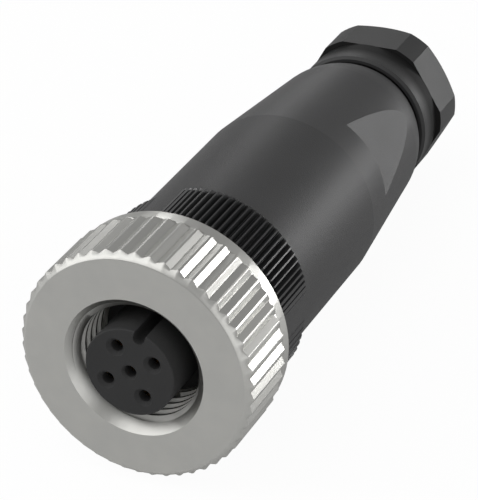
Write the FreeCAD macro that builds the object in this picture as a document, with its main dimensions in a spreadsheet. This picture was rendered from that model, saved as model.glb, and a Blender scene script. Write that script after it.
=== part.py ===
import FreeCAD, Part
import Sketcher
import math
import os

# Straight round cable connector with a screwed coupling: five socket contacts,
# screw terminals for the wires and a clamp for the cable.
# It lies along Y: the mating face looks towards -Y, and the origin is the centre of
# the mouth of the coupling thread. Places along the axis are worked out as heights
# above the rear face of the clamp nut, towards -Y. Lengths are in millimetres, and
# an angle round the axis starts at +X and grows towards +Z.

doc = FreeCAD.newDocument("round_connector")

# Driving dimensions

SIZES = {
    # clamp nut at the cable end
    "cap_length": 8.4,
    "cap_hex_length": 5.2,
    "cap_across_flats": 13.98,
    "cap_corner_radius": 7.54,
    "cap_collar_radius": 7.06,
    "cap_edge": 0.25,
    "cap_rear_chamfer": 1.1,
    "cap_rear_face_radius": 6.2,
    "cap_cable_radius": 3.7,
    "cap_wall": 1.0,
    "cap_thread_root_radius": 6.0,
    "cap_mouth_radius": 6.5,
    "cap_mouth_depth": 1.0,
    "cap_hex_turn": 1.6,
    # shell and its rear spigot, which the clamp nut screws on to
    "spigot_core_radius": 5.4,
    "spigot_bore_radius": 4.8,
    "spigot_chamfer": 0.3,
    "spigot_rear_gap": 0.5,
    "thread_clearance": 0.1,
    "shoulder_radius": 6.35,
    "shoulder_gap": 0.08,
    "tail_radius": 7.69,
    "tail_length": 3.82,
    "tail_round": 9.0,
    "taper_length": 14.15,
    "shell_radius": 9.0,
    "shell_straight_length": 22.85,
    "shell_front_chamfer": 0.2,
    "chamber_radius": 7.3,
    "chamber_length": 18.6,
    "throat_radius": 3.8,
    "seal_seat_depth": 11.8,
    # wrench flats of the shell
    "flat_distance": 7.73,
    "flat_length": 14.1,
    "flat_turn": 31.7,
    # grip ribs of the shell, in three groups
    "rib_height": 0.65,
    "rib_front_gap": 0.4,
    "rib_front_slope": 0.75,
    "rib_length": 5.1,
    "rib_rear_slope": 0.85,
    "rib_count": 96,
    "rib_tip_width": 0.16,
    "rib_root_depth": 0.05,
    "rib_groups": 3,
    "rib_group_turn": 58.0,
    "rib_lobe_inset": 1.2,
    "rib_lobe_offset": 2.29,
    # coupling nut
    "nut_gap": 0.3,
    "nut_length": 8.6,
    "nut_radius": 10.85,
    "nut_rim_length": 1.4,
    "nut_rim_step": 0.25,
    "nut_front_chamfer": 0.63,
    "nut_mouth_radius": 6.5,
    "nut_thread_radius": 5.46,
    "nut_relief_radius": 6.2,
    "nut_relief_length": 0.8,
    "nut_flange": 1.6,
    "nut_running_gap": 0.1,
    "groove_count": 50,
    "groove_depth": 0.32,
    "land_width": 0.2,
    "groove_turn": 86.0,
    # contact insert
    "insert_radius": 4.13,
    "insert_proud": 0.74,
    "insert_edge": 0.1,
    "insert_neck_radius": 4.6,
    "insert_collar_radius": 5.2,
    "insert_collar_length": 1.1,
    "insert_spigot_radius": 3.9,
    "insert_spigot_length": 1.8,
    "key_half_width": 0.53,
    "key_bottom_radius": 3.08,
    "pin_hole_radius": 0.55,
    "outer_sink_radius": 0.86,
    "outer_sink_depth": 0.34,
    "centre_sink_radius": 0.72,
    "centre_sink_depth": 0.23,
    "front_web": 1.24,
    "fit_clearance": 0.02,
    # socket contacts
    "contact_circle_radius": 2.5,
    "contact_turn": 30.0,
    "contact_radius": 0.85,
    "contact_bore_radius": 0.5,
    "contact_bore_length": 6.0,
    "contact_slot_width": 0.2,
    "contact_slot_length": 3.6,
    "contact_float": 0.05,
    "terminal_radius": 1.35,
    "terminal_circle_radius": 3.9,
    "terminal_front": 3.6,
    "terminal_length": 7.2,
    "terminal_overlap": 1.2,
    "middle_terminal_front": 11.4,
    "middle_terminal_length": 4.8,
    "wire_radius": 0.8,
    "wire_depth": 5.6,
    "middle_wire_depth": 3.8,
    # terminal block
    "block_recess": 0.3,
    "block_length": 16.8,
    "block_radius": 6.6,
    "block_collar_radius": 7.0,
    "block_collar_length": 1.0,
    "seal_groove_radius": 5.98,
    "seal_groove_width": 1.4,
    "block_thread_length": 3.0,
    # terminal screws, radial
    "screw_depth": 7.8,
    "middle_screw_depth": 13.8,
    "middle_screw_turn": -105.0,
    "screw_radius": 0.95,
    "screw_hole_gap": 0.05,
    "screw_head_radius": 1.5,
    "screw_head_gap": 0.1,
    "screw_head_outer": 6.45,
    "screw_head_length": 1.1,
    "screw_slot_width": 0.35,
    "screw_slot_depth": 0.5,
    # seals and cable clamp
    "housing_seal_half_width": 0.6,
    "housing_seal_corner": 0.35,
    "cable_seal_length": 3.6,
    "cable_seal_bore_radius": 3.3,
    "clamp_float": 0.1,
    "thrust_ring_length": 0.8,
    "cage_ring_length": 1.6,
    "cage_bore_radius": 3.5,
    "cage_finger_count": 8,
    "cage_slot_width": 0.8,
    "cage_side_gap": 0.15,
    "ring_side_gap": 0.05,
    # how far a cut runs past the surface that it opens
    "overrun": 1.0,
}

# Radii that follow the shell and the coupling nut

SIZES["rib_radius"] = SIZES["shell_radius"] + SIZES["rib_height"]
SIZES["rib_lobe_radius"] = SIZES["shell_radius"] - SIZES["rib_lobe_inset"]
SIZES["mid_wall_radius"] = (SIZES["chamber_radius"] + SIZES["shell_radius"]) / 2
SIZES["nut_rim_radius"] = SIZES["nut_radius"] - SIZES["nut_rim_step"]
SIZES["nut_front_radius"] = SIZES["nut_radius"] - SIZES["nut_front_chamfer"]

# Half the width of a groove at the crests that it leaves between its neighbours

SIZES["rib_groove_half_width"] = (
    math.pi * SIZES["rib_radius"] / SIZES["rib_count"] - SIZES["rib_tip_width"] / 2
)
SIZES["nut_groove_half_width"] = (
    math.pi * SIZES["nut_radius"] / SIZES["groove_count"] - SIZES["land_width"] / 2
)
SIZES["seal_groove_half_width"] = SIZES["seal_groove_width"] / 2
SIZES["screw_slot_half_width"] = SIZES["screw_slot_width"] / 2
SIZES["cage_slot_half_width"] = SIZES["cage_slot_width"] / 2
SIZES["contact_slot_half_width"] = SIZES["contact_slot_width"] / 2

sheet = doc.addObject("Spreadsheet::Sheet", "Sizes")
for row, (alias, value) in enumerate(SIZES.items(), start=1):
    sheet.set("A" + str(row), alias)
    sheet.set("B" + str(row), str(value))
    sheet.setAlias("B" + str(row), alias)
doc.recompute()

# Heights of the seats, each from the cable end upwards

SHOULDER = "cap_length + shoulder_gap"
TAPER_REAR = SHOULDER + " + tail_length"
TAPER_FRONT = TAPER_REAR + " + taper_length"
SHELL_FRONT = TAPER_FRONT + " + shell_straight_length"
BLOCK_FRONT = SHELL_FRONT + " - block_recess"
NUT_REAR = SHELL_FRONT + " + nut_gap"
THREAD_MOUTH = NUT_REAR + " + nut_length - nut_mouth_radius + nut_thread_radius"
INSERT_FACE = NUT_REAR + " + nut_length + insert_proud"
CONE_TOP = "cap_wall + spigot_bore_radius + cap_edge - cap_cable_radius"
SPIGOT_END = CONE_TOP + " + spigot_rear_gap"
SEAL_SEAT = SPIGOT_END + " + seal_seat_depth"
SEAL_REAR = SEAL_SEAT + " - cable_seal_length"
RING_REAR = SEAL_REAR + " - thrust_ring_length"
CAGE_FRONT = RING_REAR + " - clamp_float"
SCREW_SEAT = "screw_head_outer - screw_head_length"

# Helpers: a size is a word of the sheet, or a sum of words and numbers


def number(text):
    """The value of a sum such as "nut_length - nut_flange", in millimetres."""
    total = 0.0
    sign = 1.0
    for word in text.split():
        if word in ("+", "-"):
            sign = -1.0 if word == "-" else 1.0
        else:
            size = float(getattr(sheet, word)) if word in SIZES else float(word)
            total = total + sign * size
            sign = 1.0
    return total


def bound(text):
    """The same sum as an expression on the cells of the sheet."""
    return " ".join("Sizes." + word if word in SIZES else word for word in text.split())


def place(item, height="0", x="0", z="0"):
    """Put an item at a height above the cable end and at two distances from the axis."""
    item.setExpression("Placement.Base.x", x)
    item.setExpression("Placement.Base.y", bound(THREAD_MOUTH) + " - (" + bound(height) + ")")
    item.setExpression("Placement.Base.z", z)


def turn_about_axis(item, turn):
    """Turn an item about the connector's axis by an angle worked out from the sheet."""
    item.Placement = FreeCAD.Placement(
        FreeCAD.Vector(0, 0, 0), FreeCAD.Rotation(FreeCAD.Vector(0, -1, 0), 1)
    )
    item.setExpression("Placement.Rotation.Angle", turn)


def new_body(label, height="0", x="0", z="0", turn="0 deg"):
    """An empty body that lies at a place worked out from the sheet."""
    body = doc.addObject("PartDesign::Body", label)
    body.Label = label
    turn_about_axis(body, turn)
    place(body, height, x, z)
    return body


def new_solid(kind, name, height="0", x="0", z="0"):
    """A solid of revolution or a prism that points towards the mating face."""
    solid = doc.addObject("Part::" + kind, name)
    solid.Placement = FreeCAD.Placement(
        FreeCAD.Vector(0, 0, 0), FreeCAD.Rotation(FreeCAD.Vector(1, 0, 0), 90)
    )
    place(solid, height, x, z)
    return solid


def origin_feature(body, role):
    for feature in body.Origin.OriginFeatures:
        if feature.Role == role:
            return feature


def new_sketch(body, name, role, spin_axis, angle):
    """A sketch on one of the body's own planes, turned about one of its own axes."""
    sketch = body.newObject("Sketcher::SketchObject", name)
    sketch.AttachmentSupport = [(origin_feature(body, role), "")]
    sketch.MapMode = "FlatFace"
    sketch.AttachmentOffset = FreeCAD.Placement(
        FreeCAD.Vector(0, 0, 0), FreeCAD.Rotation(FreeCAD.Vector(*spin_axis), angle)
    )
    return sketch


def long_sketch(body, name):
    """A sketch of a half section: radius across, height above the body's rear upwards."""
    return new_sketch(body, name, "XY_Plane", (1, 0, 0), 180)


def cross_sketch(body, name, height="0", turn="0 deg"):
    """A sketch square to the axis, at a height, turned about the axis."""
    sketch = new_sketch(body, name, "XZ_Plane", (0, 0, 1), 1)
    sketch.setExpression("AttachmentOffset.Base.z", bound(height))
    sketch.setExpression("AttachmentOffset.Rotation.Angle", turn)
    return sketch


def side_sketch(body, name, reach="0"):
    """A sketch square to the body's own X, at a reach from the axis, height upwards."""
    sketch = new_sketch(body, name, "YZ_Plane", (0, 0, 1), 90)
    sketch.setExpression("AttachmentOffset.Base.z", bound(reach))
    return sketch


def fix_point(sketch, index, end, x, y):
    """Hold one end of a line by its two distances from the sketch's origin."""
    for kind, text in (("DistanceX", x), ("DistanceY", y)):
        held = sketch.addConstraint(Sketcher.Constraint(kind, -1, 1, index, end, number(text)))
        sketch.setExpression("Constraints[" + str(held) + "]", bound(text))


def draw_outline(sketch, points, arcs=None):
    """A closed outline; arcs gives a radius and a side for the lines that are round."""
    arcs = arcs or {}
    corners = [FreeCAD.Vector(number(x), number(y), 0) for x, y in points]
    first = []
    last = []
    for index, start in enumerate(corners):
        end = corners[(index + 1) % len(corners)]
        if index in arcs:
            radius, side = arcs[index]
            half = start.distanceToPoint(end) / 2
            rise = number(radius) - math.sqrt(max(number(radius) ** 2 - half**2, 0))
            across = FreeCAD.Vector(-(end.y - start.y), end.x - start.x, 0).normalize()
            middle = (start + end) * 0.5 + across * rise * side
            line = sketch.addGeometry(Part.Arc(start, middle, end), False)
            forward = sketch.getPoint(line, 1).distanceToPoint(start) < 1e-6
            held = sketch.addConstraint(Sketcher.Constraint("Radius", line, number(radius)))
            sketch.setExpression("Constraints[" + str(held) + "]", bound(radius))
        else:
            line = sketch.addGeometry(Part.LineSegment(start, end), False)
            forward = True
        first.append((line, 1 if forward else 2))
        last.append((line, 2 if forward else 1))
    for index in range(len(corners)):
        following = first[(index + 1) % len(corners)]
        sketch.addConstraint(Sketcher.Constraint("Coincident", *last[index], *following))
    for index, (x, y) in enumerate(points):
        fix_point(sketch, *first[index], x, y)


def draw_circle(sketch, x, y, radius):
    centre = FreeCAD.Vector(number(x), number(y), 0)
    normal = FreeCAD.Vector(0, 0, 1)
    ring = sketch.addGeometry(Part.Circle(centre, normal, number(radius)), False)
    fix_point(sketch, ring, 3, x, y)
    held = sketch.addConstraint(Sketcher.Constraint("Radius", ring, number(radius)))
    sketch.setExpression("Constraints[" + str(held) + "]", bound(radius))


def revolve(body, name, points, arcs=None):
    """Turn a half section, given as radius and height, about the axis."""
    sketch = long_sketch(body, name + "_section")
    draw_outline(sketch, points, arcs)
    turned = body.newObject("PartDesign::Revolution", name)
    turned.Profile = sketch
    turned.ReferenceAxis = (sketch, ["V_Axis"])
    turned.Angle = 360
    return turned


def groove(body, name, points):
    """Cut a turned recess, given as radius and height, about the axis."""
    sketch = long_sketch(body, name + "_section")
    draw_outline(sketch, points)
    turned = body.newObject("PartDesign::Groove", name)
    turned.Profile = sketch
    turned.ReferenceAxis = (sketch, ["V_Axis"])
    turned.Angle = 360
    return turned


def extrude(body, kind, name, sketch, length, reverse=False):
    """A pad or a pocket of a bound length; reverse turns it to the other side."""
    feature = body.newObject("PartDesign::" + kind, name)
    feature.Profile = sketch
    feature.Length = number(length)
    feature.setExpression("Length", bound(length))
    feature.Reversed = reverse
    return feature


def repeat(body, name, feature, count):
    """Copies of one feature, evenly round the axis."""
    pattern = body.newObject("PartDesign::PolarPattern", name)
    pattern.Originals = [feature]
    pattern.Axis = (origin_feature(body, "Y_Axis"), [""])
    pattern.Angle = 360
    pattern.Occurrences = int(number(count))
    pattern.setExpression("Occurrences", bound(count))
    body.Tip = pattern
    return pattern


# Clamp nut: turned blank with a hexagon on its rear half, hollow for the spigot


def make_clamp_nut():
    blank = new_body("clamp_nut_blank")
    revolve(blank, "turned_blank", [
        ("0", "0"),
        ("cap_rear_face_radius", "0"),
        ("cap_corner_radius", "cap_rear_chamfer"),
        ("cap_corner_radius", "cap_hex_length"),
        ("cap_collar_radius", "cap_hex_length"),
        ("cap_collar_radius", "cap_length - cap_edge"),
        ("cap_collar_radius - cap_edge", "cap_length"),
        ("0", "cap_length"),
    ])
    groove(blank, "cable_hole", [
        ("0", "0 - overrun"),
        ("cap_cable_radius", "0 - overrun"),
        ("cap_cable_radius", "cap_wall"),
        ("0", "cap_wall"),
    ])
    groove(blank, "clamping_cone", [
        ("0", "cap_wall"),
        ("cap_cable_radius", "cap_wall"),
        ("spigot_bore_radius + cap_edge", CONE_TOP),
        ("0", CONE_TOP),
    ])
    groove(blank, "thread_bore", [
        ("0", CONE_TOP),
        ("cap_thread_root_radius", CONE_TOP),
        ("cap_thread_root_radius", "cap_length - cap_mouth_depth"),
        ("cap_mouth_radius", "cap_length - cap_mouth_depth"),
        ("cap_mouth_radius", "cap_length + overrun"),
        ("0", "cap_length + overrun"),
    ])
    hexagon = new_solid("Prism", "clamp_nut_hexagon")
    hexagon.Polygon = 6
    hexagon.setExpression("Circumradius", "Sizes.cap_across_flats / 2 / cos(30)")
    hexagon.setExpression("Height", "Sizes.cap_hex_length")
    collar = new_solid("Cylinder", "clamp_nut_collar", "cap_hex_length")
    collar.setExpression("Radius", "Sizes.cap_corner_radius")
    collar.setExpression("Height", "Sizes.cap_length - Sizes.cap_hex_length")
    outside = doc.addObject("Part::Fuse", "clamp_nut_outside")
    outside.Base = hexagon
    outside.Tool = collar
    nut = doc.addObject("Part::Common", "clamp_nut")
    nut.Base = blank
    nut.Tool = outside
    turn_about_axis(nut, "Sizes.cap_hex_turn")
    return nut


# Shell: turned sleeve with a threaded spigot, ribs in three groups and two flats


def make_shell():
    sleeve = new_body("shell_sleeve")
    revolve(sleeve, "turned_sleeve", [
        ("spigot_bore_radius", SPIGOT_END),
        ("spigot_core_radius - spigot_chamfer", SPIGOT_END),
        ("spigot_core_radius", SPIGOT_END + " + spigot_chamfer"),
        ("spigot_core_radius", SHOULDER),
        ("shoulder_radius", SHOULDER),
        ("tail_radius", TAPER_REAR),
        ("shell_radius", TAPER_FRONT),
        ("shell_radius", SHELL_FRONT + " - shell_front_chamfer"),
        ("shell_radius - shell_front_chamfer", SHELL_FRONT),
        ("chamber_radius", SHELL_FRONT),
        ("chamber_radius", SHELL_FRONT + " - chamber_length"),
        ("throat_radius", SHELL_FRONT + " - chamber_length - chamber_radius + throat_radius"),
        ("throat_radius", SEAL_SEAT),
        ("spigot_bore_radius", SEAL_SEAT),
    ], {4: ("tail_round", -1)})
    flat = cross_sketch(sleeve, "wrench_flat_section", SHOULDER, "Sizes.flat_turn")
    draw_outline(flat, [
        ("flat_distance", "0 - shell_radius"),
        ("shell_radius + overrun", "0 - shell_radius"),
        ("shell_radius + overrun", "shell_radius"),
        ("flat_distance", "shell_radius"),
    ])
    cut = extrude(sleeve, "Pocket", "wrench_flat", flat, "flat_length", True)
    repeat(sleeve, "wrench_flats", cut, "2")

    band = new_body("shell_rib_band")
    rib_front = SHELL_FRONT + " - rib_front_gap"
    rib_rear = rib_front + " - rib_front_slope - rib_length - rib_rear_slope"
    root = "shell_radius - rib_root_depth"
    revolve(band, "rib_ring", [
        ("mid_wall_radius", rib_front),
        (root, rib_front),
        ("rib_radius", rib_front + " - rib_front_slope"),
        ("rib_radius", rib_rear + " + rib_rear_slope"),
        (root, rib_rear),
        ("mid_wall_radius", rib_rear),
    ])
    valley = cross_sketch(band, "rib_groove_section", rib_rear)
    draw_outline(valley, [
        (root, "0"),
        (root + " + rib_radius + rib_radius - shell_radius - shell_radius",
         "0 - rib_groove_half_width - rib_groove_half_width"),
        (root + " + rib_radius + rib_radius - shell_radius - shell_radius",
         "rib_groove_half_width + rib_groove_half_width"),
    ])
    cut = extrude(band, "Pocket", "rib_groove", valley,
                  "rib_front_slope + rib_length + rib_rear_slope", True)
    repeat(band, "rib_grooves", cut, "rib_count")

    lobes = []
    for index in range(SIZES["rib_groups"]):
        turn = "Sizes.rib_group_turn + " + str(360 / SIZES["rib_groups"] * index)
        lobe = new_solid(
            "Cylinder", "rib_lobe", "0",
            "Sizes.rib_lobe_offset * cos(" + turn + ")",
            "Sizes.rib_lobe_offset * sin(" + turn + ")",
        )
        lobe.setExpression("Radius", "Sizes.rib_lobe_radius")
        lobe.setExpression("Height", bound(SHELL_FRONT))
        lobes.append(lobe)
    lobe_group = doc.addObject("Part::MultiFuse", "rib_lobes")
    lobe_group.Shapes = lobes
    ribs = doc.addObject("Part::Common", "shell_ribs")
    ribs.Base = band
    ribs.Tool = lobe_group
    shell = doc.addObject("Part::Fuse", "shell")
    shell.Base = sleeve
    shell.Tool = ribs
    return shell


# Coupling nut: turned ring with V grooves round it and a thread bore


def make_coupling_nut():
    nut = new_body("coupling_nut", NUT_REAR)
    revolve(nut, "turned_nut", [
        ("insert_neck_radius + nut_running_gap", "0"),
        ("nut_rim_radius - cap_edge", "0"),
        ("nut_rim_radius", "cap_edge"),
        ("nut_rim_radius", "nut_rim_length"),
        ("nut_radius", "nut_rim_length + nut_rim_step"),
        ("nut_radius", "nut_length - nut_front_chamfer"),
        ("nut_front_radius", "nut_length"),
        ("nut_mouth_radius", "nut_length"),
        ("nut_thread_radius", "nut_length + nut_thread_radius - nut_mouth_radius"),
        ("nut_thread_radius", "nut_flange + nut_relief_length"),
        ("nut_relief_radius", "nut_flange + nut_relief_length"),
        ("nut_relief_radius", "nut_flange"),
        ("insert_neck_radius + nut_running_gap", "nut_flange"),
    ])
    valley = cross_sketch(nut, "grip_groove_section", "nut_rim_length", "Sizes.groove_turn")
    draw_outline(valley, [
        ("nut_radius - groove_depth", "0"),
        ("nut_radius + groove_depth", "0 - nut_groove_half_width - nut_groove_half_width"),
        ("nut_radius + groove_depth", "nut_groove_half_width + nut_groove_half_width"),
    ])
    cut = extrude(nut, "Pocket", "grip_groove", valley, "nut_length", True)
    repeat(nut, "grip_grooves", cut, "groove_count")
    return nut


# Contact insert: turned form with a coding groove and a hole for each contact


def make_contact_insert():
    insert = new_body("contact_insert_form", BLOCK_FRONT)
    collar_rear = "block_recess + nut_gap + nut_flange + nut_gap"
    face = "block_recess + nut_gap + nut_length + insert_proud"
    revolve(insert, "turned_insert", [
        ("0", "0 - insert_spigot_length"),
        ("insert_spigot_radius", "0 - insert_spigot_length"),
        ("insert_spigot_radius", "0"),
        ("insert_neck_radius", "0"),
        ("insert_neck_radius", collar_rear),
        ("insert_collar_radius", collar_rear),
        ("insert_collar_radius", collar_rear + " + insert_collar_length"),
        ("insert_radius", collar_rear + " + insert_collar_length"),
        ("insert_radius", face + " - insert_edge"),
        ("insert_radius - insert_edge", face),
        ("0", face),
    ])
    groove_foot = collar_rear + " + insert_collar_length"
    key_turn = "Sizes.contact_turn + 45"
    groove_form = cross_sketch(insert, "coding_groove_section", groove_foot, key_turn)
    draw_outline(groove_form, [
        ("key_bottom_radius + key_half_width", "0 - key_half_width"),
        ("insert_radius + overrun", "0 - key_half_width"),
        ("insert_radius + overrun", "key_half_width"),
        ("key_bottom_radius + key_half_width", "key_half_width"),
    ])
    extrude(insert, "Pocket", "coding_groove", groove_form, "nut_length", True)
    bottom = cross_sketch(insert, "coding_groove_bottom_section", groove_foot, key_turn)
    draw_circle(bottom, "key_bottom_radius + key_half_width", "0", "key_half_width")
    extrude(insert, "Pocket", "coding_groove_bottom", bottom, "nut_length", True)

    for reach, count in (("contact_circle_radius", "4"), ("0", "1")):
        stages = (
            ("pin_hole", "pin_hole_radius", "0", face),
            ("contact_hole", "contact_radius + fit_clearance", "0 - insert_spigot_length",
             face + " + insert_spigot_length - front_web"),
        )
        for name, hole_radius, start, length in stages:
            ring = cross_sketch(insert, name + "_section", start, "Sizes.contact_turn")
            draw_circle(ring, reach, "0", hole_radius)
            hole = extrude(insert, "Pocket", name, ring, length, True)
            if count != "1":
                repeat(insert, name + "s", hole, count)

    sinks = []
    for index in range(5):
        outer = "outer_sink" if index < 4 else "centre_sink"
        reach = "Sizes.contact_circle_radius" if index < 4 else "0"
        turn = "Sizes.contact_turn + " + str(90 * index)
        sink = new_solid("Cone", "lead_in")
        sink.setExpression("Radius1", "Sizes.pin_hole_radius")
        sink.setExpression("Radius2", "Sizes." + outer + "_radius")
        sink.setExpression("Height", "Sizes." + outer + "_depth")
        place(sink, INSERT_FACE + " - " + outer + "_depth",
              reach + " * cos(" + turn + ")", reach + " * sin(" + turn + ")")
        sinks.append(sink)
    lead_ins = doc.addObject("Part::MultiFuse", "lead_ins")
    lead_ins.Shapes = sinks
    pierced = doc.addObject("Part::Cut", "contact_insert")
    pierced.Base = insert
    pierced.Tool = lead_ins
    return pierced


# Socket contact: turned barrel, slotted at its mouth, with a terminal for the wire.
# The terminal of an outer contact lies further out than its barrel.


def make_contact(index):
    middle = index == 4
    turn = "Sizes.contact_turn + " + str(90 * index)
    reach = "0" if middle else "Sizes.contact_circle_radius"
    contact = new_body(
        "socket_contact_" + str(index + 1),
        BLOCK_FRONT,
        reach + " * cos(" + turn + ")",
        reach + " * sin(" + turn + ")",
        "Sizes.middle_screw_turn" if middle else turn,
    )
    front = ("block_recess + nut_gap + nut_length + insert_proud"
             " - front_web - contact_float")
    terminal_front = "middle_terminal_front" if middle else "terminal_front"
    terminal_length = "middle_terminal_length" if middle else "terminal_length"
    shift = "0" if middle else "terminal_circle_radius - contact_circle_radius"
    revolve(contact, "barrel", [
        ("0", "0 - " + terminal_front + " - terminal_overlap"),
        ("contact_radius", "0 - " + terminal_front + " - terminal_overlap"),
        ("contact_radius", front + " - cap_edge"),
        ("contact_radius - cap_edge", front),
        ("contact_bore_radius", front),
        ("contact_bore_radius", front + " - contact_bore_length"),
        ("0", front + " - contact_bore_length"),
    ])
    slot = cross_sketch(contact, "slot_section", front + " - contact_slot_length")
    draw_outline(slot, [
        ("0 - contact_radius - overrun", "0 - contact_slot_half_width"),
        ("contact_radius + overrun", "0 - contact_slot_half_width"),
        ("contact_radius + overrun", "contact_slot_half_width"),
        ("0 - contact_radius - overrun", "contact_slot_half_width"),
    ])
    extrude(contact, "Pocket", "slot", slot, "contact_slot_length", True)
    ring = cross_sketch(contact, "terminal_section", "0 - " + terminal_front)
    draw_circle(ring, shift, "0", "terminal_radius")
    extrude(contact, "Pad", "terminal", ring, terminal_length, True)
    wire = cross_sketch(contact, "wire_hole_section",
                        "0 - " + terminal_front + " - " + terminal_length)
    draw_circle(wire, shift, "0", "wire_radius")
    extrude(contact, "Pocket", "wire_hole", wire,
            "middle_wire_depth" if middle else "wire_depth", True)
    thread = side_sketch(contact, "screw_hole_section", shift)
    draw_circle(thread, "0", "0 - middle_screw_depth" if middle else "0 - screw_depth",
                "screw_radius + screw_hole_gap")
    extrude(contact, "Pocket", "screw_hole", thread, "terminal_radius + overrun", True)
    return contact


# Terminal block: turned form that takes the contacts from behind and carries the
# thread for the shell


def make_terminal_block():
    block = new_body("terminal_block_form", BLOCK_FRONT, turn="Sizes.contact_turn")
    groove_rear = "0 - block_collar_length - seal_groove_width"
    thread_radius = "chamber_radius - thread_clearance"
    revolve(block, "turned_block", [
        ("0", "0"),
        ("block_collar_radius", "0"),
        ("block_collar_radius", "0 - block_collar_length"),
        ("seal_groove_radius", "0 - block_collar_length"),
        ("seal_groove_radius", groove_rear),
        (thread_radius, groove_rear),
        (thread_radius, groove_rear + " - block_thread_length"),
        ("block_radius", groove_rear + " - block_thread_length"),
        ("block_radius", "0 - block_length + cap_edge"),
        ("block_radius - cap_edge", "0 - block_length"),
        ("0", "0 - block_length"),
    ])
    groove(block, "insert_socket", [
        ("0", "overrun"),
        ("insert_spigot_radius + fit_clearance", "overrun"),
        ("insert_spigot_radius + fit_clearance", "0 - insert_spigot_length - fit_clearance"),
        ("0", "0 - insert_spigot_length - fit_clearance"),
    ])
    for reach, terminal_reach, seat, count in (
        ("contact_circle_radius", "terminal_circle_radius", "terminal_front", "4"),
        ("0", "0", "middle_terminal_front", "1"),
    ):
        barrel = cross_sketch(block, "barrel_hole_section")
        draw_circle(barrel, reach, "0", "contact_radius + fit_clearance")
        terminal = cross_sketch(block, "terminal_hole_section", "0 - " + seat)
        draw_circle(terminal, terminal_reach, "0", "terminal_radius + fit_clearance")
        for name, ring in (("barrel_hole", barrel), ("terminal_hole", terminal)):
            hole = extrude(block, "Pocket", name, ring, "block_length")
            if count != "1":
                repeat(block, name + "s", hole, count)
    well = side_sketch(block, "screw_well_section", "terminal_circle_radius")
    draw_circle(well, "0", "0 - screw_depth", "screw_head_radius + screw_head_gap")
    hole = extrude(block, "Pocket", "screw_well", well, "block_radius", True)
    repeat(block, "screw_wells", hole, "4")

    drills = []
    turn = "Sizes.middle_screw_turn"
    for name, start, radius in (
        ("middle_screw_hole", "0", "screw_radius + screw_hole_gap"),
        ("middle_screw_well", SCREW_SEAT, "screw_head_radius + screw_head_gap"),
    ):
        drill = new_body(name, BLOCK_FRONT, turn=turn)
        ring = side_sketch(drill, name + "_section", start)
        draw_circle(ring, "0", "0 - middle_screw_depth", radius)
        extrude(drill, "Pad", name + "_core", ring, "block_radius")
        drills.append(drill)
    cores = doc.addObject("Part::MultiFuse", "middle_screw_cores")
    cores.Shapes = drills
    drilled = doc.addObject("Part::Cut", "terminal_block")
    drilled.Base = block
    drilled.Tool = cores
    return drilled


# Terminal screw: slotted screw that lies along a radius of the block


def make_screw(index):
    middle = index == 4
    depth = "middle_screw_depth" if middle else "screw_depth"
    turn = "Sizes.middle_screw_turn" if middle else "Sizes.contact_turn + " + str(90 * index)
    screw = new_body("terminal_screw_" + str(index + 1), BLOCK_FRONT + " - " + depth, turn=turn)
    tip = "wire_radius + contact_float"
    if not middle:
        tip = tip + " + terminal_circle_radius"
    head = side_sketch(screw, "head_section", SCREW_SEAT)
    draw_circle(head, "0", "0", "screw_head_radius")
    extrude(screw, "Pad", "head", head, "screw_head_length")
    shank = side_sketch(screw, "shank_section", tip)
    draw_circle(shank, "0", "0", "screw_radius")
    length = " - ".join([SCREW_SEAT] + tip.split(" + "))
    extrude(screw, "Pad", "shank", shank, length + " + contact_float")
    slot = side_sketch(screw, "slot_section", "screw_head_outer")
    half = "screw_slot_half_width"
    draw_outline(slot, [
        ("0 - " + half, "0 - screw_head_radius - overrun"),
        (half, "0 - screw_head_radius - overrun"),
        (half, "screw_head_radius + overrun"),
        ("0 - " + half, "screw_head_radius + overrun"),
    ])
    extrude(screw, "Pocket", "slot", slot, "screw_slot_depth")
    return screw


# Seals: an O-ring in the groove of the block, a sleeve round the cable


def make_housing_seal():
    ring = new_body("housing_seal", BLOCK_FRONT + " - block_collar_length - seal_groove_half_width")
    inner = "seal_groove_radius + fit_clearance"
    outer = "chamber_radius - thread_clearance"
    corner = "housing_seal_corner"
    half = "housing_seal_half_width"
    revolve(ring, "turned_seal", [
        (inner, "0 - " + half + " + " + corner),
        (inner + " + " + corner, "0 - " + half),
        (outer + " - " + corner, "0 - " + half),
        (outer, "0 - " + half + " + " + corner),
        (outer, half + " - " + corner),
        (outer + " - " + corner, half),
        (inner + " + " + corner, half),
        (inner, half + " - " + corner),
    ])
    return ring


def make_sleeve_ring(label, rear, length, bore):
    """A plain ring in the bore of the spigot."""
    ring = new_body(label, rear)
    revolve(ring, "turned_ring", [
        (bore, "0"),
        ("spigot_bore_radius - ring_side_gap", "0"),
        ("spigot_bore_radius - ring_side_gap", length),
        (bore, length),
    ])
    return ring


# Clamping cage: ring with fingers, which the cone of the clamp nut presses together


def make_clamp_cage():
    cage = new_body("clamp_cage")
    outer = "spigot_bore_radius - cage_side_gap"
    tip = "cap_wall + clamp_float"
    revolve(cage, "turned_cage", [
        ("cage_bore_radius", tip),
        ("cap_cable_radius", tip),
        (outer, tip + " + " + outer + " - cap_cable_radius"),
        (outer, CAGE_FRONT),
        ("cage_bore_radius", CAGE_FRONT),
    ])
    slot = cross_sketch(cage, "finger_slot_section", CAGE_FRONT + " - cage_ring_length")
    half = "cage_slot_half_width"
    draw_outline(slot, [
        ("cage_bore_radius - overrun", "0 - " + half),
        ("spigot_bore_radius", "0 - " + half),
        ("spigot_bore_radius", half),
        ("cage_bore_radius - overrun", half),
    ])
    cut = extrude(cage, "Pocket", "finger_slot", slot, CAGE_FRONT)
    repeat(cage, "finger_slots", cut, "cage_finger_count")
    return cage


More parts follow.
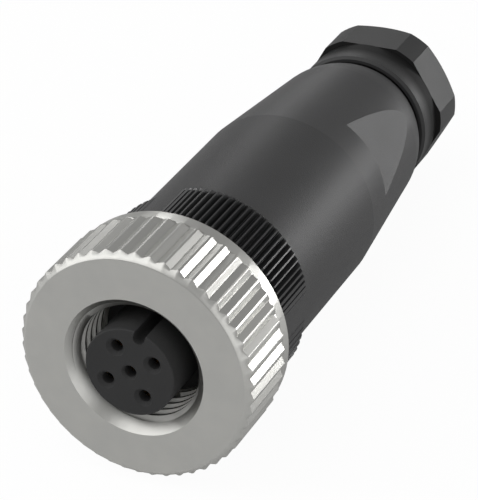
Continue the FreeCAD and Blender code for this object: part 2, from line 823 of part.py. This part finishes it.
SUB_PARTS = [
    make_clamp_nut(),
    make_clamp_cage(),
    make_sleeve_ring("thrust_ring", RING_REAR, "thrust_ring_length", "cage_bore_radius"),
    make_sleeve_ring("cable_seal", SEAL_REAR, "cable_seal_length", "cable_seal_bore_radius"),
    make_shell(),
    make_housing_seal(),
    make_terminal_block(),
    make_contact_insert(),
    make_coupling_nut(),
]
SUB_PARTS = SUB_PARTS + [make_contact(index) for index in range(5)]
SUB_PARTS = SUB_PARTS + [make_screw(index) for index in range(5)]

doc.recompute()
for item in doc.Objects:
    if "Invalid" in item.State or "Error" in item.State:
        raise RuntimeError(item.Name + " failed: " + str(item.State))

os.makedirs("parts", exist_ok=True)
for part in SUB_PARTS:
    if part.Shape.isNull() or not part.Shape.isValid():
        raise RuntimeError(part.Label + " has no valid shape")
    part.Shape.exportStep("parts/" + part.Label + ".step")
    print(part.Label, len(part.Shape.Solids), round(part.Shape.Volume, 2), part.Shape.BoundBox)
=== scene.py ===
import math

import bmesh
import bpy
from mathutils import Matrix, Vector


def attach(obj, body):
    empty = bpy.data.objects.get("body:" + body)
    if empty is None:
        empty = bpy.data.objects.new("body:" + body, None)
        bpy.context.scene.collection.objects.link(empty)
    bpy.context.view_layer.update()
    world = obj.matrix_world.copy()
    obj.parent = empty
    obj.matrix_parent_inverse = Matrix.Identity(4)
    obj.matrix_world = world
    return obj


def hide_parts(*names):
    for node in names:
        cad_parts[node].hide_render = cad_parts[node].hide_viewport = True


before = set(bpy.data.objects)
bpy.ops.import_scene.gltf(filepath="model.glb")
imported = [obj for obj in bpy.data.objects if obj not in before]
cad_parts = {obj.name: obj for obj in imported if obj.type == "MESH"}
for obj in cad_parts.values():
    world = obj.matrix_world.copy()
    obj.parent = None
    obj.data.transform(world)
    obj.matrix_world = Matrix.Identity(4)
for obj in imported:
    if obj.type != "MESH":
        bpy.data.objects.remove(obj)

bpy.context.view_layer.update()

# Coupling nut: a nickel-plated turned ring, milled with V grooves for the fingers, which
# turns freely on the neck of the contact insert. Its fine internal thread, left out of the
# solid, is cut here as a ridge that winds along the bore.

MM = 0.001
NUT_REAR = 7.56 * MM
NUT_FRONT = -1.04 * MM
NUT_RADIUS = 10.85 * MM
NUT_RIM_RADIUS = 10.6 * MM
NUT_RIM_FRONT = 6.16 * MM
NUT_SHOULDER = 5.91 * MM
NUT_FACE_RADIUS = 10.22 * MM
NUT_GROOVE_RADIUS = 10.53 * MM
NUT_GROOVES = 50
NUT_GROOVE_TURN = 86.0
NUT_LAND = 0.2 * MM
NUT_CREST_ROUND = 0.035 * MM
NUT_FACE_ROUND = 0.06 * MM
NUT_EDGE = 0.25 * MM
NUT_HOLE_RADIUS = 4.7 * MM
NUT_FLANGE_FRONT = 5.96 * MM
NUT_RELIEF_RADIUS = 6.2 * MM
NUT_RELIEF_FRONT = 5.16 * MM
NUT_THREAD_ROOT = 6.0 * MM
NUT_THREAD_CREST = 5.46 * MM
NUT_MOUTH_RADIUS = 6.5 * MM
NUT_THREAD_PITCH = 1.0 * MM
THREAD_FOOT = 0.44
THREAD_FLAT = 0.13
THREAD_SIDES = 72
THREAD_SHARP_ANGLE = 40.0
SHARP_ANGLE = 25.0
ROUND_SEGMENTS = 2
TINY = 0.001 * MM
TINY_TURN = 0.1
JOIN_DISTANCE = 0.0005 * MM
NICKEL_WARM = (0.67, 0.665, 0.632, 1.0)
NICKEL_COOL = (0.59, 0.59, 0.57, 1.0)
NICKEL_ROUGHNESS = 0.3
NICKEL_HAZE_SCALE = 420.0
NICKEL_HAZE_ROUGHNESS = 0.08
TOOL_MARK_SCALE = 9000.0
TOOL_MARK_ROUGHNESS = 0.06
TOOL_MARK_DEPTH = 0.0008 * MM


class Value:
    """A socket of a material's node tree that takes part in sums and products."""

    def __init__(self, tree, socket):
        self.tree = tree
        self.socket = socket

    def make(self, kind, settings, inputs, output=0):
        """Any other node: its type, its settings, then values or links for its sockets."""
        node = self.tree.nodes.new("ShaderNode" + kind)
        for name, setting in settings.items():
            setattr(node, name, setting)
        for name, given in inputs.items():
            if isinstance(given, Value):
                self.tree.links.new(given.socket, node.inputs[name])
            else:
                node.inputs[name].default_value = given
        return Value(self.tree, node.outputs[output])

    def maths(self, operation, *others):
        values = (self,) + others
        return self.make("Math", {"operation": operation}, dict(enumerate(values)))

    def __add__(self, other):
        return self.maths("ADD", other)

    def __radd__(self, other):
        return self.maths("ADD", other)

    def __sub__(self, other):
        return self.maths("SUBTRACT", other)

    def __rsub__(self, other):
        return self.maths("MULTIPLY_ADD", -1.0, other)

    def __mul__(self, other):
        return self.maths("MULTIPLY", other)

    def __rmul__(self, other):
        return self.maths("MULTIPLY", other)

    def __pow__(self, other):
        return self.maths("POWER", other)


def new_material(name, **fixed):
    """A material with its own shader; returns it, its shader and the object's coordinates."""
    material = bpy.data.materials.new(name)
    material.use_nodes = True
    shader = material.node_tree.nodes["Principled BSDF"]
    for socket, value in fixed.items():
        shader.inputs[socket.replace("_", " ")].default_value = value
    coordinates = material.node_tree.nodes.new("ShaderNodeTexCoord")
    return material, shader, Value(material.node_tree, coordinates.outputs["Object"])


def feed(shader, **values):
    """Link varying values to the shader's sockets."""
    for socket, value in values.items():
        value.tree.links.new(value.socket, shader.inputs[socket.replace("_", " ")])


def noise(where, scale, detail):
    """Noise from 0 to 1 whose grains are about 1 / scale metres across."""
    return where.make("TexNoise", {}, {"Vector": where, "Scale": scale, "Detail": detail})


def colour_mix(factor, first, second):
    """A colour between two others, the first at 0 and the second at 1."""
    inputs = {0: factor, 6: first, 7: second}
    return factor.make("Mix", {"data_type": "RGBA"}, inputs, 2)


def bumped(height, distance, strength=1.0):
    """A surface normal tilted by a height that runs from 0 to 1 over a distance."""
    inputs = {"Height": height, "Distance": distance, "Strength": strength}
    return height.make("Bump", {}, inputs)


def round_axis(where):
    """The distance from the connector's axis, and the place along it."""
    parts = where.make("SeparateXYZ", {}, {"Vector": where})
    node = parts.socket.node
    across = Value(where.tree, node.outputs["X"])
    up = Value(where.tree, node.outputs["Z"])
    along = Value(where.tree, node.outputs["Y"])
    return (across ** 2 + up ** 2) ** 0.5, along


def nickel():
    """Nickel plate on turned brass: fine tool rings and a soft satin haze."""
    material, shader, where = new_material("nickel_plate", Metallic=1.0)
    radius, along = round_axis(where)
    rings = where.make("CombineXYZ", {}, {"X": radius, "Y": along})
    turned = noise(rings, TOOL_MARK_SCALE, 3.0)
    haze = noise(where, NICKEL_HAZE_SCALE, 4.0)
    satin = haze * NICKEL_HAZE_ROUGHNESS + turned * TOOL_MARK_ROUGHNESS
    feed(
        shader,
        Base_Color=colour_mix(haze, NICKEL_WARM, NICKEL_COOL),
        Roughness=satin + NICKEL_ROUGHNESS,
        Normal=bumped(turned, TOOL_MARK_DEPTH),
    )
    return material


def start_ring(name, sides, radius, along, turn):
    """A ring of edges round the axis, open for editing, with a vertex at a turn."""
    bpy.ops.object.select_all(action="DESELECT")
    bpy.ops.mesh.primitive_circle_add(
        vertices=sides,
        radius=radius,
        location=(0, along, 0),
        rotation=(math.pi / 2, math.pi / 2 - math.radians(turn), 0),
    )
    piece = bpy.context.object
    piece.name = name
    bpy.ops.object.transform_apply()
    bpy.ops.object.mode_set(mode="EDIT")
    bpy.ops.mesh.select_mode(type="VERT")
    bpy.ops.mesh.select_all(action="SELECT")
    return piece


def scale_round_axis(factor):
    """Scale what is selected towards the axis or away from it."""
    bpy.ops.transform.resize(value=(factor, 1, factor), center_override=(0, 0, 0))


def lathe(stations):
    """Extrude the selected ring from station to station, each a radius and a place."""
    for (radius, along), (next_radius, next_along) in zip(stations, stations[1:]):
        bpy.ops.mesh.extrude_region_move()
        bpy.ops.transform.translate(value=(0, next_along - along, 0))
        scale_round_axis(next_radius / radius)


def pick_in_ring(piece, along, pitch, turn):
    """Select the vertices of the ring at a place that stand at every pitch from a turn."""
    mesh = bmesh.from_edit_mesh(piece.data)
    for vertex in mesh.verts:
        angle = math.degrees(math.atan2(vertex.co.z, vertex.co.x)) - turn
        off = abs((angle + pitch / 2) % pitch - pitch / 2)
        vertex.select = abs(vertex.co.y - along) < TINY and off < TINY_TURN
    mesh.select_flush_mode()
    bmesh.update_edit_mesh(piece.data)


def round_edges(piece, width, chosen):
    """Bevel the edges that are chosen by their two ends, each a radius and a place."""
    bpy.ops.mesh.select_mode(type="EDGE")
    mesh = bmesh.from_edit_mesh(piece.data)
    for edge in mesh.edges:
        ends = [(math.hypot(end.co.x, end.co.z), end.co.y) for end in edge.verts]
        edge.select = chosen(*ends)
    mesh.select_flush_mode()
    bmesh.update_edit_mesh(piece.data)
    bpy.ops.mesh.bevel(offset=width, segments=ROUND_SEGMENTS, affect="EDGES")
    bpy.ops.mesh.select_mode(type="VERT")


def close_mesh():
    """Join what coincides and turn every face outwards."""
    bpy.ops.mesh.select_all(action="SELECT")
    bpy.ops.mesh.remove_doubles(threshold=JOIN_DISTANCE)
    bpy.ops.mesh.normals_make_consistent(inside=False)
    bpy.ops.object.mode_set(mode="OBJECT")


def finish_piece(piece, material, angle):
    """Shade the piece smooth between edges sharper than an angle; give it its material."""
    bpy.ops.object.shade_smooth_by_angle(angle=math.radians(angle))
    weighted = piece.modifiers.new("flat_faces", "WEIGHTED_NORMAL")
    weighted.keep_sharp = True
    bpy.ops.object.modifier_apply(modifier="flat_faces")
    piece.data.materials.append(material)


def coupling_nut_body(material):
    """The knurled ring, with three vertices to a groove: its bottom and its two crests."""
    pitch = 360 / NUT_GROOVES
    land = math.degrees(NUT_LAND / NUT_RADIUS)
    cone_rear = NUT_FRONT + NUT_RADIUS - NUT_FACE_RADIUS
    nut = start_ring(
        "coupling_nut_body", 3 * NUT_GROOVES, NUT_HOLE_RADIUS, NUT_REAR, NUT_GROOVE_TURN
    )
    for spread, side in ((pitch / 3, 1), (-pitch / 3, -1)):
        pick_in_ring(nut, NUT_REAR, pitch, NUT_GROOVE_TURN + spread)
        nudge = math.radians(side * ((pitch - land) / 2 - pitch / 3))
        bpy.ops.transform.rotate(value=nudge, orient_axis="Y", center_override=(0, 0, 0))
    bpy.ops.mesh.select_all(action="SELECT")
    lathe([
        (NUT_HOLE_RADIUS, NUT_REAR),
        (NUT_RIM_RADIUS - NUT_EDGE, NUT_REAR),
        (NUT_RIM_RADIUS, NUT_REAR - NUT_EDGE),
        (NUT_RIM_RADIUS, NUT_RIM_FRONT),
        (NUT_RADIUS, NUT_SHOULDER),
        (NUT_RADIUS, cone_rear),
        (NUT_GROOVE_RADIUS, NUT_FRONT + NUT_GROOVE_RADIUS - NUT_FACE_RADIUS),
        (NUT_FACE_RADIUS, NUT_FRONT),
        (NUT_MOUTH_RADIUS, NUT_FRONT),
        (NUT_THREAD_ROOT, NUT_FRONT + NUT_MOUTH_RADIUS - NUT_THREAD_ROOT),
        (NUT_THREAD_ROOT, NUT_RELIEF_FRONT),
        (NUT_RELIEF_RADIUS, NUT_RELIEF_FRONT),
        (NUT_RELIEF_RADIUS, NUT_FLANGE_FRONT),
        (NUT_HOLE_RADIUS, NUT_FLANGE_FRONT),
        (NUT_HOLE_RADIUS, NUT_REAR),
    ])
    for along in (NUT_SHOULDER, cone_rear):
        pick_in_ring(nut, along, pitch, NUT_GROOVE_TURN)
        scale_round_axis(NUT_GROOVE_RADIUS / NUT_RADIUS)
    round_edges(
        nut, NUT_CREST_ROUND,
        lambda one, other: min(one[0], other[0]) > NUT_RADIUS - TINY
        and abs(one[1] - other[1]) > NUT_EDGE,
    )
    round_edges(
        nut, NUT_FACE_ROUND,
        lambda one, other: max(one[1], other[1]) < NUT_FRONT + TINY
        and min(one[0], other[0]) > NUT_MOUTH_RADIUS + NUT_EDGE,
    )
    close_mesh()
    finish_piece(nut, material, SHARP_ANGLE)
    return nut


def thread_ridge(name, root, crest, first, last, pitch, chamfer, material):
    """A ridge that winds along a thread, from its root radius to its crest radius.

    chamfer takes a radius and a place, and gives the radius that it leaves there.
    """
    bpy.ops.object.select_all(action="DESELECT")
    bpy.ops.mesh.primitive_circle_add(vertices=4, radius=pitch)
    ridge = bpy.context.object
    ridge.name = name
    section = (
        (root, first - THREAD_FOOT * pitch),
        (crest, first - THREAD_FLAT * pitch),
        (crest, first + THREAD_FLAT * pitch),
        (root, first + THREAD_FOOT * pitch),
    )
    for vertex, (radius, along) in zip(ridge.data.vertices, section):
        vertex.co = (radius, along, 0)
    turns = (last - first) / pitch
    screw = ridge.modifiers.new("turns", "SCREW")
    screw.axis = "Y"
    screw.angle = 2 * math.pi * turns
    screw.screw_offset = last - first
    screw.steps = round(THREAD_SIDES * turns)
    screw.render_steps = screw.steps
    bpy.ops.object.modifier_apply(modifier="turns")
    for vertex in ridge.data.vertices:
        reach = math.hypot(vertex.co.x, vertex.co.z)
        kept = chamfer(reach, vertex.co.y) / reach
        vertex.co = (vertex.co.x * kept, vertex.co.y, vertex.co.z * kept)
    bpy.ops.object.mode_set(mode="EDIT")
    bpy.ops.mesh.select_all(action="SELECT")
    bpy.ops.mesh.fill_holes(sides=4)
    close_mesh()
    finish_piece(ridge, material, THREAD_SHARP_ANGLE)
    return ridge


nickel_plate = nickel()
nut_body = coupling_nut_body(nickel_plate)
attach(nut_body, "nut")
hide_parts("coupling_nut")
nut_thread = thread_ridge(
    "coupling_nut_thread", NUT_THREAD_ROOT, NUT_THREAD_CREST,
    NUT_FRONT + 0.5 * NUT_THREAD_PITCH, NUT_RELIEF_FRONT - 0.5 * NUT_THREAD_PITCH,
    NUT_THREAD_PITCH,
    lambda reach, along: max(reach, NUT_MOUTH_RADIUS + NUT_FRONT - along),
    nickel_plate,
)
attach(nut_thread, "nut")

# Contact insert: a dark moulding that holds the five contacts apart, and sits in the shell
# with the terminal block behind it. A coding groove on its rim lets the plug in one way
# only, and each hole has a countersunk mouth.

CLOUD_SCALE = 260.0
CLOUD_ROUGHNESS = 0.08
SPARK_ROUGHNESS = 0.1
SPARK_DEPTH = 0.02 * MM
SPARK_STRENGTH = 0.6
INSERT_DARK = (0.036, 0.036, 0.037, 1.0)
INSERT_LIGHT = (0.046, 0.046, 0.046, 1.0)


def moulded(name, dark, light, grain, roughness, gloss):
    """Moulded plastic: a sparked mould's fine grain and a slight cloudiness."""
    material, shader, where = new_material(name, Specular_IOR_Level=gloss)
    spark = noise(where, grain, 3.0)
    cloud = noise(where, CLOUD_SCALE, 3.0)
    feed(
        shader,
        Base_Color=colour_mix(cloud, dark, light),
        Roughness=cloud * CLOUD_ROUGHNESS + spark * SPARK_ROUGHNESS + roughness,
        Normal=bumped(spark, SPARK_DEPTH, SPARK_STRENGTH),
    )
    return material


insert_plastic = moulded(
    "insert_plastic", INSERT_DARK, INSERT_LIGHT, grain=9000.0, roughness=0.6, gloss=0.3
)
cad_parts["contact_insert"].data.materials[0] = insert_plastic

# Socket contacts: turned brass barrels with a thin gold plate, slotted at the mouth so
# that they grip a pin. They stand in the insert's holes and end in the terminal block.

CONTACTS = 5
GOLD_BRIGHT = (0.86, 0.62, 0.25, 1.0)
GOLD_DULL = (0.74, 0.5, 0.2, 1.0)
GOLD_WEAR_SCALE = 3000.0
GOLD_WEAR_ROUGHNESS = 0.15
GOLD_ROUGHNESS = 0.2


def gold():
    """Thin gold plate, a little worn and dulled."""
    material, shader, where = new_material("gold_plate", Metallic=1.0)
    wear = noise(where, GOLD_WEAR_SCALE, 3.0)
    colour = colour_mix(wear, GOLD_BRIGHT, GOLD_DULL)
    feed(shader, Base_Color=colour, Roughness=wear * GOLD_WEAR_ROUGHNESS + GOLD_ROUGHNESS)
    return material


gold_plate = gold()
for place in range(1, CONTACTS + 1):
    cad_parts["socket_contact_" + str(place)].data.materials[0] = gold_plate

# Terminal block, with its screws and seals: a grey moulding inside the shell, which takes
# the contacts from behind. A zinc-plated screw across each contact clamps a wire, and black
# rubber seals close the shell round the block and round the cable.

GREY_DARK = (0.12, 0.12, 0.125, 1.0)
GREY_LIGHT = (0.15, 0.15, 0.155, 1.0)
ZINC_BRIGHT = (0.62, 0.63, 0.65, 1.0)
ZINC_DULL = (0.5, 0.5, 0.52, 1.0)
ZINC_HAZE_SCALE = 1800.0
ZINC_HAZE_ROUGHNESS = 0.2
ZINC_ROUGHNESS = 0.25
RUBBER_DARK = (0.02, 0.02, 0.02, 1.0)
RUBBER_LIGHT = (0.03, 0.03, 0.03, 1.0)

grey_plastic = moulded(
    "grey_plastic", GREY_DARK, GREY_LIGHT, grain=7000.0, roughness=0.45, gloss=0.4
)
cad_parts["terminal_block"].data.materials[0] = grey_plastic


def screw_steel():
    """Bright zinc plate with a faint haze."""
    material, shader, where = new_material("zinc_plate", Metallic=1.0)
    haze = noise(where, ZINC_HAZE_SCALE, 3.0)
    colour = colour_mix(haze, ZINC_BRIGHT, ZINC_DULL)
    feed(shader, Base_Color=colour, Roughness=haze * ZINC_HAZE_ROUGHNESS + ZINC_ROUGHNESS)
    return material


zinc_plate = screw_steel()
for place in range(1, CONTACTS + 1):
    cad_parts["terminal_screw_" + str(place)].data.materials[0] = zinc_plate

rubber = moulded(
    "seal_rubber", RUBBER_DARK, RUBBER_LIGHT, grain=5000.0, roughness=0.7, gloss=0.25
)
for node in ("housing_seal", "cable_seal"):
    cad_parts[node].data.materials[0] = rubber

# Shell: the moulded housing between the nuts, charcoal with a satin grain. Its grip ribs
# are smoother and darker, and its spigot carries the thread for the clamp nut, half a pitch
# off the nut's own ridge, so that the two interleave.

RIB_FOOT_RADIUS = 9.02 * MM
RIB_BAND = (8.2 * MM, 15.0 * MM)
SPIGOT_CORE = 5.4 * MM
SPIGOT_CREST = 5.87 * MM
SPIGOT_THREAD_FRONT = 49.76 * MM
SPIGOT_REAR = 54.31 * MM
CLAMP_PITCH = 1.5 * MM
CHARCOAL_DARK = (0.046, 0.046, 0.047, 1.0)
CHARCOAL_LIGHT = (0.056, 0.056, 0.057, 1.0)
RIB_CHARCOAL = (0.03, 0.03, 0.031, 1.0)
RIB_SMOOTHNESS = 0.1
SHELL_ROUGHNESS = 0.38
SHELL_CLOUD_ROUGHNESS = 0.06
SHELL_SPARK_SCALE = 9000.0
SHELL_SPARK_ROUGHNESS = 0.12
SHELL_SPARK_DEPTH = 0.03 * MM
SHELL_SPARK_STRENGTH = 0.8


def shell_finish():
    """Charcoal plastic with a sparked grain, smoother and darker where the ribs stand."""
    material, shader, where = new_material("shell_plastic", Specular_IOR_Level=0.42)
    spark = noise(where, SHELL_SPARK_SCALE, 4.0)
    cloud = noise(where, CLOUD_SCALE, 3.0)
    radius, along = round_axis(where)
    ribs = radius.maths("GREATER_THAN", RIB_FOOT_RADIUS)
    ribs = ribs * along.maths("GREATER_THAN", RIB_BAND[0])
    ribs = ribs * along.maths("LESS_THAN", RIB_BAND[1])
    charcoal = colour_mix(cloud, CHARCOAL_DARK, CHARCOAL_LIGHT)
    grain = cloud * SHELL_CLOUD_ROUGHNESS + spark * SHELL_SPARK_ROUGHNESS
    feed(
        shader,
        Base_Color=colour_mix(ribs, charcoal, RIB_CHARCOAL),
        Roughness=grain + SHELL_ROUGHNESS - ribs * RIB_SMOOTHNESS,
        Normal=bumped(spark * (1 - ribs), SHELL_SPARK_DEPTH, SHELL_SPARK_STRENGTH),
    )
    return material


shell_plastic = shell_finish()
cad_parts["shell"].data.materials[0] = shell_plastic
spigot_thread = thread_ridge(
    "spigot_thread", SPIGOT_CORE, SPIGOT_CREST,
    SPIGOT_THREAD_FRONT, SPIGOT_REAR - 0.5 * CLAMP_PITCH, CLAMP_PITCH,
    lambda reach, along: min(reach, SPIGOT_CORE + SPIGOT_REAR - along),
    shell_plastic,
)
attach(spigot_thread, "housing")

# Cable clamp: a thrust ring and a slotted cage, both moulded in grey. They lie loose in the
# spigot and the clamp nut, which presses the cage's fingers on to the cable.

for node in ("thrust_ring", "clamp_cage"):
    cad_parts[node].data.materials[0] = grey_plastic

# Clamp nut: moulded in black, and screwed on the shell's spigot by a coarse thread. The
# round collar in front of its hexagon carries painted shade, darker towards the hexagon, and
# is rougher there.

CLAMP_NUT_ROOT = 6.0 * MM
CLAMP_NUT_CREST = 5.5 * MM
CLAMP_NUT_BORE_FRONT = 49.76 * MM
CLAMP_NUT_BORE_REAR = 54.81 * MM
CLAMP_NUT_HEXAGON_FRONT = 52.01 * MM
# Painted shade on the collar: the span where it darkens, its colour, and the roughness it
# adds.
CLAMP_NUT_SHADE_SPAN = (49.6 * MM, 50.8 * MM)
CLAMP_NUT_DARK = (0.035, 0.035, 0.036, 1.0)
CLAMP_NUT_LIGHT = (0.045, 0.045, 0.045, 1.0)
CLAMP_NUT_PAINTED_SHADE = (0.006, 0.006, 0.006, 1.0)
CLAMP_NUT_SPARK_SCALE = 8000.0
CLAMP_NUT_ROUGHNESS = 0.42
CLAMP_NUT_SHADE_ROUGHNESS = 0.2


def clamp_nut_plastic_and_shade():
    """Black plastic with painted shade: its collar darkens and grows rougher towards the
    hexagon.
    """
    material, shader, where = new_material("black_plastic", Specular_IOR_Level=0.4)
    spark = noise(where, CLAMP_NUT_SPARK_SCALE, 3.0)
    cloud = noise(where, CLOUD_SCALE, 3.0)
    along = round_axis(where)[1]
    hexagon = along.maths("GREATER_THAN", CLAMP_NUT_HEXAGON_FRONT)
    # Painted shade: the collar darkens over the span towards the hexagon, and the hexagon
    # stays clear of it.
    limits = {"Value": along, "From Min": CLAMP_NUT_SHADE_SPAN[0], "From Max": CLAMP_NUT_SHADE_SPAN[1]}
    collar_shade = along.make("MapRange", {}, limits) * (1 - hexagon)
    black = colour_mix(cloud, CLAMP_NUT_DARK, CLAMP_NUT_LIGHT)
    grain = cloud * CLOUD_ROUGHNESS + spark * SPARK_ROUGHNESS
    feed(
        shader,
        # The base colour blends into the painted shade on the collar.
        Base_Color=colour_mix(collar_shade, black, CLAMP_NUT_PAINTED_SHADE),
        Roughness=grain + CLAMP_NUT_ROUGHNESS + collar_shade * CLAMP_NUT_SHADE_ROUGHNESS,
        Normal=bumped(spark, SPARK_DEPTH, SPARK_STRENGTH),
    )
    return material


black_plastic = clamp_nut_plastic_and_shade()
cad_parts["clamp_nut"].data.materials[0] = black_plastic
clamp_thread = thread_ridge(
    "clamp_nut_thread", CLAMP_NUT_ROOT, CLAMP_NUT_CREST,
    CLAMP_NUT_BORE_FRONT + 0.5 * CLAMP_PITCH, CLAMP_NUT_BORE_REAR - 0.5 * CLAMP_PITCH,
    CLAMP_PITCH, lambda reach, along: reach, black_plastic,
)
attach(clamp_thread, "clamp_screw")

# Studio: a white floor that the connector rests on with its nut and its clamp nut, soft
# lamps above it, on both sides and behind it, and the photograph's camera.

REST_FRONT = (0.0, 5.91 * MM, -10.85 * MM)
REST_REAR = (0.0, 56.5 * MM, -6.99 * MM)
FLOOR_SIZE = 4.0
FLOOR_WHITE = (0.66, 0.66, 0.66, 1.0)
BACKGROUND_GLOW = 1.04
BACKGROUND_SEEN = 0.92
BACKGROUND_MIRRORED = 0.15
WORLD_GLOW = 0.34
LAMP_AIM = (0.0, 25 * MM, 0.0)
LAMP_DISTANCE = 0.6
CAMERA_PLACE = (88.366 * MM, -175.566 * MM, 121.848 * MM)
CAMERA_WAY = (-0.357603, 0.793701, -0.492096)
CAMERA_LENS = 197.8
CAMERA_SENSOR = 36.0
CAMERA_CLIP = 0.01


def studio_floor():
    """A white plane under both nuts, which the camera sees as a plain white ground."""
    slope = math.atan2(REST_REAR[2] - REST_FRONT[2], REST_REAR[1] - REST_FRONT[1])
    bpy.ops.object.select_all(action="DESELECT")
    bpy.ops.mesh.primitive_plane_add(size=FLOOR_SIZE, rotation=(slope, 0, 0))
    floor = bpy.context.object
    floor.name = "studio_floor"
    floor.location = REST_FRONT
    material, shader, where = new_material("white_floor", Roughness=0.6)
    shader.inputs["Base Color"].default_value = FLOOR_WHITE
    tree = material.node_tree
    rays = tree.nodes.new("ShaderNodeLightPath")
    glow = tree.nodes.new("ShaderNodeEmission")
    glow.inputs["Strength"].default_value = BACKGROUND_GLOW
    mixed = tree.nodes.new("ShaderNodeMixShader")
    seen = Value(tree, rays.outputs["Is Camera Ray"])
    mirrored = Value(tree, rays.outputs["Is Glossy Ray"])
    refracted = Value(tree, rays.outputs["Is Transmission Ray"])
    share = seen * BACKGROUND_SEEN + (mirrored + refracted) * BACKGROUND_MIRRORED
    tree.links.new(share.socket, mixed.inputs[0])
    tree.links.new(shader.outputs[0], mixed.inputs[1])
    tree.links.new(glow.outputs[0], mixed.inputs[2])
    tree.links.new(mixed.outputs[0], tree.nodes["Material Output"].inputs["Surface"])
    floor.data.materials.append(material)


def soft_box(name, direction, width, height, glow):
    """A rectangular soft box, as bright as its glow, that faces the connector's middle."""
    aim = Vector(LAMP_AIM)
    place = aim + Vector(direction).normalized() * LAMP_DISTANCE
    light = bpy.data.lights.new(name, "AREA")
    light.shape = "RECTANGLE"
    light.size = width
    light.size_y = height
    light.energy = glow * math.pi * width * height
    lamp = bpy.data.objects.new(name, light)
    lamp.location = place
    lamp.rotation_euler = (aim - place).to_track_quat("-Z", "Y").to_euler()
    bpy.context.collection.objects.link(lamp)


def studio_world():
    """Soft white light from all round."""
    world = bpy.data.worlds.new("studio")
    world.use_nodes = True
    world.node_tree.nodes["Background"].inputs["Color"].default_value = (1, 1, 1, 1)
    world.node_tree.nodes["Background"].inputs["Strength"].default_value = WORLD_GLOW
    bpy.context.scene.world = world


def photo_camera():
    """The photograph's camera, whose place and lens were fitted to the contact circle."""
    camera = bpy.data.cameras.new("photo_camera")
    camera.lens = CAMERA_LENS
    camera.sensor_width = CAMERA_SENSOR
    camera.clip_start = CAMERA_CLIP
    holder = bpy.data.objects.new("photo_camera", camera)
    holder.location = CAMERA_PLACE
    holder.rotation_euler = Vector(CAMERA_WAY).to_track_quat("-Z", "Y").to_euler()
    bpy.context.collection.objects.link(holder)
    bpy.context.scene.camera = holder


studio_floor()
studio_world()
soft_box("box_above", (-0.3, -0.42, 0.9), width=0.5, height=0.5, glow=1.25)
soft_box("box_left", (-0.88, -0.25, 0.41), width=0.5, height=0.4, glow=1.3)
soft_box("box_right", (0.81, -0.55, 0.25), width=0.4, height=0.4, glow=0.9)
soft_box("box_rear_left", (-0.42, 0.85, 0.33), width=0.07, height=0.12, glow=5.5)
soft_box("box_rear_right", (0.57, 0.82, 0.09), width=0.17, height=0.15, glow=14.0)
photo_camera()
bpy.context.scene.view_settings.view_transform = "Standard"

bpy.context.view_layer.update()
